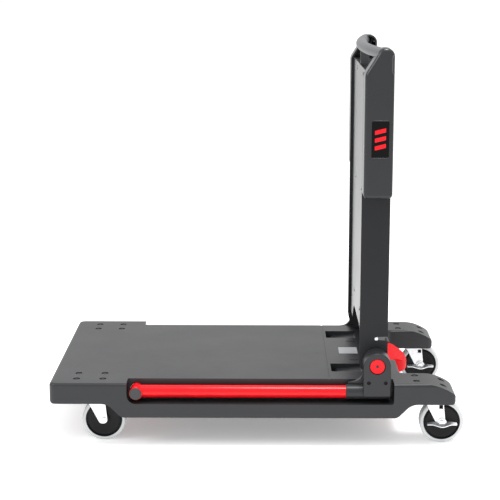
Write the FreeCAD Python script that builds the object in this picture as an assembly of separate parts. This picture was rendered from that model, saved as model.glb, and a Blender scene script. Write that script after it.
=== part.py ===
import FreeCAD, Part
import math
import os

# Folding platform cart: a moulded deck on four swivel casters, with a moulded upright that folds
# flat on the deck about two side hubs. Millimetres, +Z up, floor at Z = 0. X runs from the open
# front end (-X) to the handle end (+X), Y across. "left" is the -Y side, seen from the handle.
# The model is drawn about the middle of the deck and shifted along X at the end, so that the
# origin is on the floor under the middle of the whole cart.

V = FreeCAD.Vector

# ---- overall sizes, and the stack from the floor up to the deck's top
DECK_LENGTH = 920.0
DECK_WIDTH = 578.0
CART_HEIGHT = 899.0
WHEEL_R = 50.0
WHEEL_WIDTH = 32.0
CASTER_OFFSET = 30.0
CROWN_OVER_WHEEL = 8.0
CASTER_HEAD = 20.0
PAD_THICK = 20.5
CROWN_BOTTOM_Z = 2 * WHEEL_R + CROWN_OVER_WHEEL
CASTER_TOP_Z = CROWN_BOTTOM_Z + CASTER_HEAD
DECK_TOP = CASTER_TOP_Z + PAD_THICK
HALF_L = DECK_LENGTH / 2
HALF_W = DECK_WIDTH / 2

# ---- clearances
RUN = 0.06
SNUG = 0.05
GAP = 0.3
SWIVEL_GAP = 6.0
FOLD_GAP = 1.5
POST_SIDE_GAP = 1.5
SHELL_SIDE_GAP = 0.5
GROOVE_TUBE_GAP = 2.7
PEDAL_SIDE_GAP = 5.0
FORK_SIDE_GAP = 2.0

# ---- casters
TYRE_THICK = 8.0
TYRE_SHOULDER_R = 5.0
FRONT_CASTER_X = -HALF_L + 89.0
REAR_CASTER_X = HALF_L - 57.5
FRONT_CASTER_Y = HALF_W - 63.0
REAR_CASTER_Y = HALF_W - 51.0
PLATE_LENGTH = 80.0
PLATE_BREADTH = 64.0
PLATE_THICK = 3.0
PLATE_CORNER_R = 6.0
PAD_MARGIN = 6.0
BOLT_SPACING_X = 60.3
BOLT_SPACING_Y = 44.5
BOLT_R = 4.0
BOLT_HEAD_R = 6.5
BOLT_HEAD_TALL = 4.0
BOLT_SINK = 4.6
NUT_R = 7.5
NUT_TALL = 6.5
RACE_R = 24.0
RACE_TALL = 7.5
FORK_RACE_R = 22.0
FORK_RACE_TALL = 2.5
FORK_DISC_R = 26.0
FORK_SKIN = 2.5
FORK_GAP = WHEEL_WIDTH + 2 * FORK_SIDE_GAP
FORK_BOSS_R = 9.0
FORK_BACK = 24.0
CROWN_THICK = 3.0
AXLE_R = 5.0
AXLE_HEAD_R = 7.0
AXLE_HEAD_TALL = 4.0
RIM_LIP = 1.2
RIM_GROOVE = 4.5
GROOVE_DEEP = 6.0
DISH_R = 160.0
DISH_DEEP = 3.0
HUB_BOSS_R = 12.0
BRAKE_HUB = 3.0
BRAKE_HUB_R = 10.5
BRAKE_RISE = 2.0
BRAKE_SKIN = 2.5
BRAKE_HALF_LONG = 34.0
BRAKE_TILT = 25.0
SWING = CASTER_OFFSET + WHEEL_R

# ---- deck
DECK_WALL = 5.0
DECK_SKIN = 6.0
FRONT_CORNER_R = 16.0
LEG_CORNER_R = 12.0
TOP_EDGE_R = 7.0
SKIRT_Z = DECK_TOP - 47.7
SILL_Z = DECK_TOP - 79.5
SKIRT_BEND_R = 36.0
SKIRT_END_R = 9.0
FRONT_DROP_X = FRONT_CASTER_X + SWING + SWIVEL_GAP
FRONT_RISE_X = FRONT_DROP_X - 49.0
REAR_DROP_X = REAR_CASTER_X - SWING - SWIVEL_GAP - 0.5
REAR_RISE_X = REAR_DROP_X + 52.0
LEG_WIDTH = 98.0
CUTOUT_X = HALF_L - 119.0
LEG_DROOP_X = HALF_L - 75.0
LEG_DROOP_R = 120.0
LEG_END_R = 14.0
RIB_THICK = 4.0
RIB_PITCH = 75.0

# ---- side grooves and their steel tubes
TUBE_R = 14.3
TUBE_WALL = 1.6
TUBE_INSET = TUBE_R + 12.7
TUBE_Y = HALF_W - TUBE_INSET
TUBE_Z = DECK_TOP - 25.0
GROOVE_FRONT_X = FRONT_DROP_X + 1.0
GROOVE_REAR_X = REAR_DROP_X + 4.0
GROOVE_Y = TUBE_Y - TUBE_R - GROOVE_TUBE_GAP
GROOVE_FLOOR_Z = SKIRT_Z
CROSS_TUBE_X = GROOVE_FRONT_X + TUBE_R + 5.7
CROSS_TUBE_END_GAP = 5.0
TUBE_WAY_GAP = 0.5
PLUG_R = TUBE_R - 0.7
PLUG_DEEP = 16.0
PLUG_HEAD = 2.5

# ---- hinge brackets, pins and buttons
HUB_R = 30.8
UPRIGHT_FRONT = 38.0
UPRIGHT_REAR = 26.0
HUB_X = GROOVE_REAR_X - HUB_R - 7.6
HUB_Z = DECK_TOP + UPRIGHT_FRONT + FOLD_GAP
SOCKET_R = TUBE_R + 3.0
SOCKET_FRONT_X = HUB_X - HUB_R - 38.8
SOCKET_BORE_END_X = HUB_X - HUB_R - 5.8
EAR_Y1 = HALF_W - 4.0
EAR_Y0 = GROOVE_Y - 9.0
EAR_BACK_Y = GROOVE_Y + 2.0
EAR_EDGE_R = 2.5
EAR_FOOT_R = 3.0
EAR_BOTTOM_Z = TUBE_Z - 5.5
GUSSET_THICK = 11.0
GUSSET_BEND_R = 23.0
PIN_R = 8.0
PIN_HEAD_R = 12.0
PIN_HEAD_TALL = 4.0
PIN_NOSE_R = 3.0
BUTTON_R = 17.0
BUTTON_GAP = 1.2
BUTTON_RECESS = 15.0
BUTTON_SINK = 2.0
BUTTON_TRAVEL = 4.0
BUTTON_FACE = 3.0
BUTTON_DISH_R = 120.0
RECESS_FLOOR_Y = EAR_Y1 - BUTTON_RECESS
EAR_SCREW_SPACING = 38.0
EAR_SCREW_Z = HUB_Z - HUB_R - 6.7
EAR_SCREW_R = 2.5
EAR_SCREW_HEAD_R = 3.9
EAR_SCREW_SEAT = 5.0
EAR_SCREW_LONG = 31.0
ANCHOR_R = 3.0
ANCHOR_HEAD_R = 5.5
ANCHOR_LONG = 15.0
ANCHOR_FORE = 16.0
ANCHOR_AFT = 8.0

# ---- folding upright
POST_HALF_SPAN = EAR_Y0 - POST_SIDE_GAP
POST_CHEEK = 6.0
POST_WIDTH = 30.5
POST_WALL = 4.0
POST_INNER = POST_HALF_SPAN - POST_WIDTH
UPRIGHT_X0 = HUB_X - UPRIGHT_FRONT
UPRIGHT_X1 = HUB_X + UPRIGHT_REAR
PANEL_RECESS = 7.5
PANEL_SKIN = 3.0
PANEL_FACE_X = UPRIGHT_X0 + PANEL_RECESS
PANEL_BACK_X = PANEL_FACE_X + PANEL_SKIN
PANEL_BOTTOM_Z = HUB_Z + 7.0
PANEL_TOP_Z = CART_HEIGHT - 56.0
ARCH_HALF = POST_HALF_SPAN - 66.5
ARCH_TALL = 44.0
ARCH_R = 90.0
REAR_PANEL_SKIN = 4.0
REAR_RIB_PITCH = 50.0
REAR_RIB_HALF = 5.0
BAR_TALL = 28.0
SHELL_TOP_Z = CART_HEIGHT
SHELL_BOTTOM_Z = CART_HEIGHT - 328.0
SHELL_SHOULDER_Z = PANEL_TOP_Z
SHELL_INNER = POST_HALF_SPAN + SHELL_SIDE_GAP
SHELL_WALL = 4.0
SHELL_EDGE_R = 8.0
SHELL_FOOT_R = 9.0
SHELL_CROWN_R = 18.0
SHELL_SHOULDER_R = 24.0
SCALLOP_R = 15.0
SCALLOP_LOW_Z = CART_HEIGHT - 47.0
SCALLOP_HIGH_Z = CART_HEIGHT - 23.0
GRIP_HALF_DEPTH = 13.0
GRIP_HALF_HEIGHT = 12.0
GRIP_BOW = 27.0
GRIP_Z = SHELL_TOP_Z - GRIP_HALF_HEIGHT
GRIP_END_X = HUB_X + 2.0
WEB_HALF = 2.5
BADGE_X = HUB_X - 3.1
BADGE_Z = CART_HEIGHT - 197.0
BADGE_LONG = 82.0
BADGE_WIDE = 40.0
BADGE_DEEP = 1.0
BADGE_GAP = 0.2
LATCH_ROD_R = 4.0
LATCH_Z = HUB_Z + 52.0
LATCH_SPRING_Y = 120.0
PANEL_SCREW_Y = 100.0
PANEL_SCREW_R = 2.0
PANEL_SCREW_HEAD_R = 4.5
PANEL_SCREW_LONG = 14.0

# ---- foot pedal, foot pockets and strike plate
PEDAL_AXLE_X = CUTOUT_X - 23.0
PEDAL_AXLE_Z = DECK_TOP - 12.5
PEDAL_HALF_WIDTH = 78.0
PEDAL_REACH = 56.0
PEDAL_SKIN = 5.0
PEDAL_TALL = 36.0
PEDAL_DROOP = 14.0
PEDAL_NOSE_R = 11.0
PEDAL_SINK = 1.5
PEDAL_BARREL_R = AXLE_R + 4.0
PEDAL_BARREL_INSET = 22.0
PEDAL_NOTCH_HALF = PEDAL_HALF_WIDTH + PEDAL_SIDE_GAP
PEDAL_NOTCH_X = PEDAL_AXLE_X - 14.0
PEDAL_SPRING_HALF = 16.0
POCKET_X0 = UPRIGHT_X0 - 60.6
POCKET_X1 = UPRIGHT_X0 + 14.4
POCKET_Y0 = HALF_W - 171.0
POCKET_Y1 = HALF_W - 105.0
POCKET_PIT = 9.0
POCKET_PIT_DEEP = 26.0
POCKET_RAMP_DEEP = 12.0
PLATE_RECESS_X = UPRIGHT_X0 - 12.6
PLATE_RECESS_LONG = 46.0
PLATE_RECESS_WIDE = 58.0
PLATE_RECESS_DEEP = 2.0
SLOT_Y = 85.0
SLOT_LONG = 24.0
SLOT_WIDE = 4.0
SLOT_DEEP = 10.0
BED_END_X = UPRIGHT_X0 - 69.6
BED_LINE_WIDE = 3.0
BED_LINE_DEEP = 1.2

CASTERS = [("front_left", FRONT_CASTER_X, -FRONT_CASTER_Y), ("front_right", FRONT_CASTER_X, FRONT_CASTER_Y),
           ("rear_left", REAR_CASTER_X, -REAR_CASTER_Y), ("rear_right", REAR_CASTER_X, REAR_CASTER_Y)]
CART_REAR = max(HALF_L, REAR_CASTER_X + SWING)
SHIFT_X = -(CART_REAR - HALF_L) / 2


# ---- drawing helpers

def save(name, *shapes):
    """Write one node: its solids moved to the cart's origin."""
    moved = [shape.copy() for shape in shapes]
    for shape in moved:
        shape.translate(V(SHIFT_X, 0, 0))
    whole = moved[0] if len(moved) == 1 else Part.makeCompound(moved)
    whole.exportStep("parts/" + name + ".step")


def block(x0, x1, y0, y1, z0, z1):
    """A box from its lowest to its highest corner."""
    return Part.makeBox(x1 - x0, y1 - y0, z1 - z0, V(x0, y0, z0))


def rod_x(radius, x0, x1, y, z):
    """A cylinder along X."""
    return Part.makeCylinder(radius, x1 - x0, V(x0, y, z), V(1, 0, 0))


def rod_y(radius, y0, y1, x, z):
    """A cylinder along Y."""
    return Part.makeCylinder(radius, y1 - y0, V(x, y0, z), V(0, 1, 0))


def rod_z(radius, z0, z1, x, y):
    """A cylinder along Z."""
    return Part.makeCylinder(radius, z1 - z0, V(x, y, z0), V(0, 0, 1))


def rounded_wire(corners, place):
    """A closed outline through (a, b, corner radius) points, placed in space by place(a, b)."""
    count = len(corners)
    stops = []
    for i in range(count):
        a, b, radius = corners[i]
        here = V(a, b, 0)
        back = (V(corners[i - 1][0], corners[i - 1][1], 0) - here).normalize()
        ahead = (V(corners[(i + 1) % count][0], corners[(i + 1) % count][1], 0) - here).normalize()
        if radius <= 0:
            stops.append((here, here, here))
            continue
        half = back.getAngle(ahead) / 2
        reach = radius / math.tan(half)
        middle = here + (back + ahead).normalize() * (radius / math.sin(half) - radius)
        stops.append((here + back * reach, middle, here + ahead * reach))
    edges = []
    for i in range(count):
        start, middle, end = stops[i]
        if (end - start).Length > 1e-6:
            arc = Part.Arc(place(start.x, start.y), place(middle.x, middle.y), place(end.x, end.y))
            edges.append(arc.toShape())
        following = stops[(i + 1) % count][0]
        if (following - end).Length > 1e-6:
            edges.append(Part.makeLine(place(end.x, end.y), place(following.x, following.y)))
    return Part.Wire(edges)


def prism_z(corners, z0, z1):
    """A plan outline of (x, y, radius) corners raised from z0 to z1."""
    face = Part.Face(rounded_wire(corners, lambda a, b: V(a, b, z0)))
    return face.extrude(V(0, 0, z1 - z0))


def prism_y(corners, y0, y1):
    """A side outline of (x, z, radius) corners carried from y0 to y1."""
    face = Part.Face(rounded_wire(corners, lambda a, b: V(a, y0, b)))
    return face.extrude(V(0, y1 - y0, 0))


def prism_x(corners, x0, x1):
    """An end outline of (y, z, radius) corners carried from x0 to x1."""
    face = Part.Face(rounded_wire(corners, lambda a, b: V(x0, a, b)))
    return face.extrude(V(x1 - x0, 0, 0))


def mirrored(shape):
    """The same shape on the other side of the cart."""
    return shape.mirror(V(0, 0, 0), V(0, 1, 0))


def both_sides(shape):
    """A shape and its mirror image."""
    return [shape, mirrored(shape)]


def on_side(side, shape):
    """A shape drawn on the right (+Y), put on the given side."""
    return shape if side > 0 else mirrored(shape)


def joined(shapes):
    """One solid from overlapping shapes."""
    return shapes[0].fuse(list(shapes[1:])).removeSplitter()


def without(shape, cutters):
    """A shape with every cutter taken away."""
    return shape.cut(list(cutters))


def edges_in_plane(shape, axis, value):
    """The edges that lie wholly in one plane across the given axis."""
    found = []
    for edge in shape.Edges:
        box = edge.BoundBox
        low, high = {"y": (box.YMin, box.YMax), "z": (box.ZMin, box.ZMax)}[axis]
        if abs(low - value) < 0.01 and abs(high - value) < 0.01:
            found.append(edge)
    return found


def coil(radius, wire, length, turns, base, axis):
    """A closed coil spring of round wire, its centre line starting at base."""
    helix = Part.makeLongHelix(length / turns, length, radius)
    section = Part.Wire(Part.makeCircle(wire / 2, V(radius, 0, 0), V(0, 1, 0)))
    spring = Part.Wire(helix.Edges).makePipeShell([section], True, True)
    spring.Placement = FreeCAD.Placement(base, FreeCAD.Rotation(V(0, 0, 1), axis))
    return spring


# ---- deck

def deck_plan(inset, z0, z1):
    """The deck seen from above: a rounded rectangle with the rear cut-out between two legs."""
    x0 = -HALF_L + inset
    x1 = HALF_L - inset
    y1 = HALF_W - inset
    leg_in = HALF_W - LEG_WIDTH + inset
    cut_x = CUTOUT_X - inset
    front_r = FRONT_CORNER_R - inset
    leg_r = LEG_CORNER_R - inset
    cut_r = leg_r + 2 * inset
    return prism_z([(x0, -y1, front_r), (x1, -y1, leg_r), (x1, -leg_in, leg_r), (cut_x, -leg_in, cut_r),
                    (cut_x, leg_in, cut_r), (x1, leg_in, leg_r), (x1, y1, leg_r), (x0, y1, front_r)], z0, z1)


def leg_droop(skin):
    """What the drooping top and round end of the legs take away, a skin's thickness below the surface."""
    wide = HALF_W + 20
    middle_z = DECK_TOP - LEG_DROOP_R
    along = HALF_L - LEG_END_R - LEG_DROOP_X
    between = LEG_DROOP_R - LEG_END_R
    end_z = middle_z + math.sqrt(between ** 2 - along ** 2)
    meet_x = LEG_DROOP_X + along * (LEG_DROOP_R - skin) / between
    over = block(LEG_DROOP_X, HALF_L + 20, -wide, wide, middle_z, DECK_TOP + 20)
    over = over.cut(rod_y(LEG_DROOP_R - skin, -wide - 10, wide + 10, LEG_DROOP_X, middle_z))
    end = block(meet_x, HALF_L + 20, -wide, wide, end_z, DECK_TOP + 20)
    end = end.cut(rod_y(LEG_END_R - skin, -wide - 10, wide + 10, HALF_L - LEG_END_R, end_z))
    return over.fuse(end)


def skirt_relief():
    """What is cut from the skirt over the casters, front and rear."""
    bend = SKIRT_BEND_R
    away = HALF_L + 20
    turn = SKIRT_END_R
    front = prism_y([(-away, 0, 0), (FRONT_DROP_X, 0, 0), (FRONT_DROP_X, SILL_Z, 0),
                     (FRONT_DROP_X - 12, SILL_Z, bend / 2), (FRONT_RISE_X + 6, SKIRT_Z, bend),
                     (-HALF_L, SKIRT_Z, turn), (-HALF_L, SKIRT_Z + 2 * turn, 0),
                     (-away, SKIRT_Z + 2 * turn, 0)], -HALF_W - 20, HALF_W + 20)
    rear = prism_y([(away, 0, 0), (away, SKIRT_Z + 2 * turn, 0), (HALF_L, SKIRT_Z + 2 * turn, 0),
                    (HALF_L, SKIRT_Z, turn), (REAR_RISE_X - 8, SKIRT_Z, bend),
                    (REAR_DROP_X + 12, SILL_Z, bend / 2), (REAR_DROP_X, SILL_Z, 0),
                    (REAR_DROP_X, 0, 0)], -HALF_W - 20, HALF_W + 20)
    return [front, rear]


def groove(margin):
    """The side groove for the steel tube, grown by a margin on its wall and floor."""
    top = DECK_TOP + 20
    x0 = GROOVE_FRONT_X - margin
    x1 = GROOVE_REAR_X + margin
    floor = GROOVE_FLOOR_Z - margin
    return prism_y([(x0, top, 0), (x0, floor, 20 + margin), (x1, floor, 6 + margin), (x1, top, 0)],
                   GROOVE_Y - margin, HALF_W + 30)


def pocket(margin):
    """A foot pocket in the deck: a deep pit at its front end and a ramped floor."""
    x0 = POCKET_X0 - margin
    x1 = POCKET_X1 + margin
    pit = DECK_TOP - POCKET_PIT_DEEP - margin
    ramp = DECK_TOP - POCKET_RAMP_DEEP - margin
    if margin:
        outline = [(x0, DECK_TOP - 1, 0), (x0, pit, 3), (x1, pit, 3), (x1, DECK_TOP - 1, 0)]
    else:
        outline = [(x0, DECK_TOP + 9, 0), (x0, pit, 2), (x0 + POCKET_PIT, pit, 2),
                   (x0 + POCKET_PIT + 5, ramp, 4), (x1, ramp + 6, 5), (x1, DECK_TOP + 9, 0)]
    return prism_y(outline, POCKET_Y0 - margin, POCKET_Y1 + margin)


def pedal_notch(margin):
    """The notch that opens the cut-out's front wall for the pedal, grown by a margin."""
    half = PEDAL_NOTCH_HALF + margin
    return block(PEDAL_NOTCH_X - margin, CUTOUT_X + 10, -half, half, 0, DECK_TOP + 20)


def caster_pad(x, y):
    """The solid pad that a caster plate is bolted to."""
    along = PLATE_LENGTH / 2 + PAD_MARGIN
    across = PLATE_BREADTH / 2 + PAD_MARGIN
    return block(x - along, x + along, y - across, y + across, CASTER_TOP_Z, DECK_TOP)


def surface_z(x):
    """Height of the deck's top surface at a place along the legs."""
    if x <= LEG_DROOP_X:
        return DECK_TOP
    return DECK_TOP - LEG_DROOP_R + math.sqrt(LEG_DROOP_R ** 2 - (x - LEG_DROOP_X) ** 2)


def bolt_places(x, y):
    """The four bolts of one caster: place and height of the seat under the head."""
    for dx in (-BOLT_SPACING_X / 2, BOLT_SPACING_X / 2):
        for dy in (-BOLT_SPACING_Y / 2, BOLT_SPACING_Y / 2):
            low_side = surface_z(x + dx + BOLT_HEAD_R)
            yield x + dx, y + dy, min(DECK_TOP - BOLT_SINK, low_side - 3.0)


def deck_ribs():
    """Stiffening ribs under the deck, kept clear of the casters and the cross tube."""
    ribs = []
    x0 = CROSS_TUBE_X + TUBE_R + 14
    x1 = PEDAL_NOTCH_X - DECK_WALL
    inner = GROOVE_Y - DECK_WALL / 2
    top = DECK_TOP - DECK_SKIN / 2
    for place in range(-2, 3):
        y = RIB_PITCH * place
        ribs.append(block(x0, x1, y - RIB_THICK / 2, y + RIB_THICK / 2, SKIRT_Z, top))
    for step in range(5):
        x = x0 + (x1 - x0) * step / 4
        ribs.append(block(x - RIB_THICK / 2, x + RIB_THICK / 2, -inner, inner, SKIRT_Z, top))
    return ribs


def moulded_deck():
    """The whole deck, hollow underneath, with the sills that hang below the side grooves."""
    outer = deck_plan(0, SILL_Z, DECK_TOP)
    outer = outer.makeFillet(TOP_EDGE_R, edges_in_plane(outer, "z", DECK_TOP))
    outer = without(outer, [leg_droop(0)])
    hollow = deck_plan(DECK_WALL, 0, DECK_TOP - DECK_SKIN)
    keep = both_sides(groove(DECK_WALL)) + [pedal_notch(DECK_WALL), leg_droop(DECK_SKIN)]
    keep += [caster_pad(x, y) for _, x, y in CASTERS] + both_sides(pocket(DECK_WALL - 1)) + deck_ribs()
    hollow = without(hollow, keep)
    deck = without(outer, [hollow])
    cuts = both_sides(groove(0)) + both_sides(pocket(0)) + [pedal_notch(0)] + skirt_relief()
    cuts.append(rod_y(TUBE_R + TUBE_WAY_GAP, -GROOVE_Y - 5, GROOVE_Y + 5, CROSS_TUBE_X, TUBE_Z))
    cuts.append(block(PLATE_RECESS_X - PLATE_RECESS_LONG / 2, PLATE_RECESS_X + PLATE_RECESS_LONG / 2,
                      -PLATE_RECESS_WIDE / 2, PLATE_RECESS_WIDE / 2,
                      DECK_TOP - PLATE_RECESS_DEEP, DECK_TOP + 5))
    line_x = BED_END_X + BED_LINE_WIDE
    cuts.append(block(BED_END_X, line_x, -HALF_W, HALF_W, DECK_TOP - BED_LINE_DEEP, DECK_TOP + 5))
    for _, x, y in CASTERS:
        along = PLATE_LENGTH / 2 + GAP
        across = PLATE_BREADTH / 2 + GAP
        cuts.append(block(x - along, x + along, y - across, y + across, CROWN_BOTTOM_Z, CASTER_TOP_Z))
        for bolt_x, bolt_y, seat in bolt_places(x, y):
            cuts.append(rod_z(BOLT_R + GAP, CASTER_TOP_Z - 5, DECK_TOP + 5, bolt_x, bolt_y))
            cuts.append(rod_z(BOLT_HEAD_R + 1.5, seat, DECK_TOP + 5, bolt_x, bolt_y))
    for y in (-SLOT_Y, SLOT_Y):
        cuts.append(block(PLATE_RECESS_X, PLATE_RECESS_X + SLOT_LONG, y - SLOT_WIDE / 2, y + SLOT_WIDE / 2,
                          DECK_TOP - SLOT_DEEP, DECK_TOP + 5))
    for x, z in anchor_places():
        for side in (-1, 1):
            cuts.append(on_side(side, rod_y(ANCHOR_R + GAP, GROOVE_Y - 20, GROOVE_Y + 5, x, z)))
    cuts.append(rod_y(AXLE_R + SNUG, -PEDAL_NOTCH_HALF - DECK_WALL - 1, PEDAL_NOTCH_HALF + DECK_WALL + 1,
                      PEDAL_AXLE_X, PEDAL_AXLE_Z))
    return without(deck, cuts)


def make_deck(whole):
    """The deck's top moulding: all that stands above the lower edge of its skirt."""
    return whole.common(block(-HALF_L - 10, HALF_L + 10, -HALF_W - 10, HALF_W + 10, SKIRT_Z, DECK_TOP + 10))


def make_sill(whole):
    """The right-hand sill: an angle moulding that floors the groove and closes the side below it."""
    return whole.common(block(-HALF_L - 10, HALF_L + 10, GROOVE_Y - DECK_WALL, HALF_W + 10, 0, SKIRT_Z))


# ---- tubes, hinge brackets, pins and buttons

def make_side_tube():
    """A right-hand side tube: coped on the cross tube, its other end in the hinge bracket."""
    end = SOCKET_BORE_END_X - GAP
    tube = rod_x(TUBE_R, CROSS_TUBE_X, end, TUBE_Y, TUBE_Z)
    tube = without(tube, [rod_x(TUBE_R - TUBE_WALL, CROSS_TUBE_X - 1, end + 1, TUBE_Y, TUBE_Z)])
    return without(tube, [rod_y(TUBE_R + SNUG, TUBE_Y - 40, TUBE_Y + 40, CROSS_TUBE_X, TUBE_Z)])


def make_cross_tube():
    """The tube across the deck, open at both ends."""
    end = HALF_W - CROSS_TUBE_END_GAP
    tube = rod_y(TUBE_R, -end, end, CROSS_TUBE_X, TUBE_Z)
    return without(tube, [rod_y(TUBE_R - TUBE_WALL, -end - 1, end + 1, CROSS_TUBE_X, TUBE_Z)])


def make_tube_plug():
    """A plug with a domed head in a tube end."""
    end = HALF_W - CROSS_TUBE_END_GAP
    face = end + PLUG_HEAD
    head = rod_y(PLUG_R, end, face, CROSS_TUBE_X, TUBE_Z)
    head = head.makeFillet(1.5, edges_in_plane(head, "y", face))
    return joined([head, rod_y(TUBE_R - TUBE_WALL - SNUG, end - PLUG_DEEP, end + 1, CROSS_TUBE_X, TUBE_Z)])


def anchor_places():
    """The hidden bolts that hold a hinge bracket to the wall of the groove."""
    return [(HUB_X - ANCHOR_FORE, TUBE_Z + 2), (HUB_X + ANCHOR_AFT, TUBE_Z + 2)]


def make_bracket():
    """A right-hand hinge bracket: tube socket, round ear with the button recess, and a gusset."""
    ear_x0 = HUB_X - HUB_R
    ear_x1 = HUB_X + HUB_R
    arch = HUB_Z + HUB_R
    arch_r = HUB_R - 0.01
    back = EAR_BACK_Y
    ear = prism_y([(ear_x0, EAR_BOTTOM_Z, EAR_FOOT_R), (ear_x1, EAR_BOTTOM_Z, EAR_FOOT_R),
                   (ear_x1, arch, arch_r), (ear_x0, arch, arch_r)], back, EAR_Y1)
    ear = ear.makeFillet(EAR_EDGE_R, edges_in_plane(ear, "y", EAR_Y1))
    barrel = rod_y(HUB_R, EAR_Y0, back + 1, HUB_X, HUB_Z)
    socket = rod_x(SOCKET_R, SOCKET_FRONT_X, ear_x1, TUBE_Y, TUBE_Z)
    socket = socket.makeChamfer(1.5, [socket.Edges[0], socket.Edges[2]])
    low = TUBE_Z + SOCKET_R
    gusset = prism_y([(ear_x0 + 5, HUB_Z + 6, 0), (ear_x0 + 5, TUBE_Z, 0), (SOCKET_FRONT_X + 6, TUBE_Z, 0),
                      (SOCKET_FRONT_X + 6, low + 3, 0), (ear_x0 - 1, low + 9, GUSSET_BEND_R),
                      (ear_x0 + 0.5, HUB_Z + 6, 0)], back, back + GUSSET_THICK)
    body = joined([ear, barrel, socket, gusset])
    cuts = [rod_x(TUBE_R + SNUG, SOCKET_FRONT_X - 1, SOCKET_BORE_END_X, TUBE_Y, TUBE_Z)]
    cuts.append(rod_y(BUTTON_R + BUTTON_GAP, RECESS_FLOOR_Y, EAR_Y1 + 5, HUB_X, HUB_Z))
    cuts.append(rod_y(PIN_R + SNUG, EAR_Y0 - 5, RECESS_FLOOR_Y + 1, HUB_X, HUB_Z))
    for x in ear_screw_xs():
        cuts.append(rod_y(EAR_SCREW_R + SNUG, EAR_Y1 - EAR_SCREW_LONG - 1, EAR_Y1 + 1, x, EAR_SCREW_Z))
        cuts.append(rod_y(EAR_SCREW_HEAD_R + 0.5, EAR_Y1 - EAR_SCREW_SEAT, EAR_Y1 + 1, x, EAR_SCREW_Z))
    for x, z in anchor_places():
        cuts.append(rod_y(ANCHOR_R + SNUG, GROOVE_Y - 1, GROOVE_Y + ANCHOR_LONG + 3, x, z))
    cuts.append(block(SOCKET_FRONT_X - 5, ear_x1 + 5, GROOVE_Y - 10, GROOVE_Y + SNUG,
                      GROOVE_FLOOR_Z, DECK_TOP))
    return without(body, cuts)


def ear_screw_xs():
    """Where the two screws stand under the button."""
    return (HUB_X - EAR_SCREW_SPACING / 2, HUB_X + EAR_SCREW_SPACING / 2)


def make_ear_screw(x):
    """A pan-head screw in the ear, with a cross slot."""
    seat = EAR_Y1 - EAR_SCREW_SEAT
    head = rod_y(EAR_SCREW_HEAD_R, seat + 0.1, seat + 2.7, x, EAR_SCREW_Z)
    slots = [block(x - 2.4, x + 2.4, seat + 1.5, seat + 4, EAR_SCREW_Z - 0.5, EAR_SCREW_Z + 0.5),
             block(x - 0.5, x + 0.5, seat + 1.5, seat + 4, EAR_SCREW_Z - 2.4, EAR_SCREW_Z + 2.4)]
    shank = rod_y(EAR_SCREW_R, EAR_Y1 - EAR_SCREW_LONG, seat + 0.5, x, EAR_SCREW_Z)
    return without(joined([head, shank]), slots)


def make_anchor_bolt(x, z):
    """A hidden bolt from inside the deck into the bracket."""
    wall = GROOVE_Y - DECK_WALL
    shank = rod_y(ANCHOR_R, wall - 1, GROOVE_Y + ANCHOR_LONG, x, z)
    return joined([rod_y(ANCHOR_HEAD_R, wall - 4, wall, x, z), shank])


def make_hinge_pin():
    """A hinge pin: fixed in the ear, running in the post, with a nose that guides the button."""
    inner = POST_INNER - GAP
    shank = rod_y(PIN_R, inner - 1, RECESS_FLOOR_Y, HUB_X, HUB_Z)
    head = rod_y(PIN_HEAD_R, inner - PIN_HEAD_TALL, inner, HUB_X, HUB_Z)
    nose = rod_y(PIN_NOSE_R, RECESS_FLOOR_Y - 1, EAR_Y1 - BUTTON_SINK + GAP, HUB_X, HUB_Z)
    return joined([shank, head, nose])


def make_button():
    """A round push-button: a cup on the nose of the hinge pin, its face slightly dished."""
    face = EAR_Y1 - BUTTON_SINK
    skirt = RECESS_FLOOR_Y + BUTTON_TRAVEL + 0.5
    cup = rod_y(BUTTON_R, skirt, face, HUB_X, HUB_Z)
    cup = cup.makeFillet(1.2, edges_in_plane(cup, "y", face))
    inside = rod_y(BUTTON_R - 3, skirt - 1, face - BUTTON_FACE, HUB_X, HUB_Z)
    dish = Part.makeSphere(BUTTON_DISH_R, V(HUB_X, face + BUTTON_DISH_R - 1, HUB_Z))
    return without(cup, [inside, dish, rod_y(PIN_NOSE_R + RUN, skirt - 1, face + 1, HUB_X, HUB_Z)])


def make_button_spring():
    """The coil behind a button, at the length it has when the button is pressed."""
    room = EAR_Y1 - BUTTON_SINK - BUTTON_FACE - BUTTON_TRAVEL - RECESS_FLOOR_Y
    wire = 1.2
    base = V(HUB_X, RECESS_FLOOR_Y + wire / 2 + GAP, HUB_Z)
    return coil(10.0, wire, room - wire - 2 * GAP, 2.5, base, V(0, 1, 0))


# ---- pedal

def pedal_bowl(inset, low):
    """The half-moon tread as a domed block down to a height, a skin's thickness inside when inset."""
    x0 = PEDAL_AXLE_X - 2 + inset
    x1 = PEDAL_AXLE_X + PEDAL_REACH - inset
    top = DECK_TOP - PEDAL_SINK - inset
    half = PEDAL_HALF_WIDTH - inset
    band = prism_y([(x0, top, 0), (PEDAL_AXLE_X + 26, top, 30), (x1, top - PEDAL_DROOP, PEDAL_NOSE_R - inset),
                    (x1, low, 0), (x0, low, 0)], -half, half)
    sag = PEDAL_REACH - 14.0
    moon_r = (PEDAL_HALF_WIDTH ** 2 + sag ** 2) / (2 * sag)
    return band.common(rod_z(moon_r - inset, 0, DECK_TOP + 5, PEDAL_AXLE_X + PEDAL_REACH - moon_r, 0))


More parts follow.
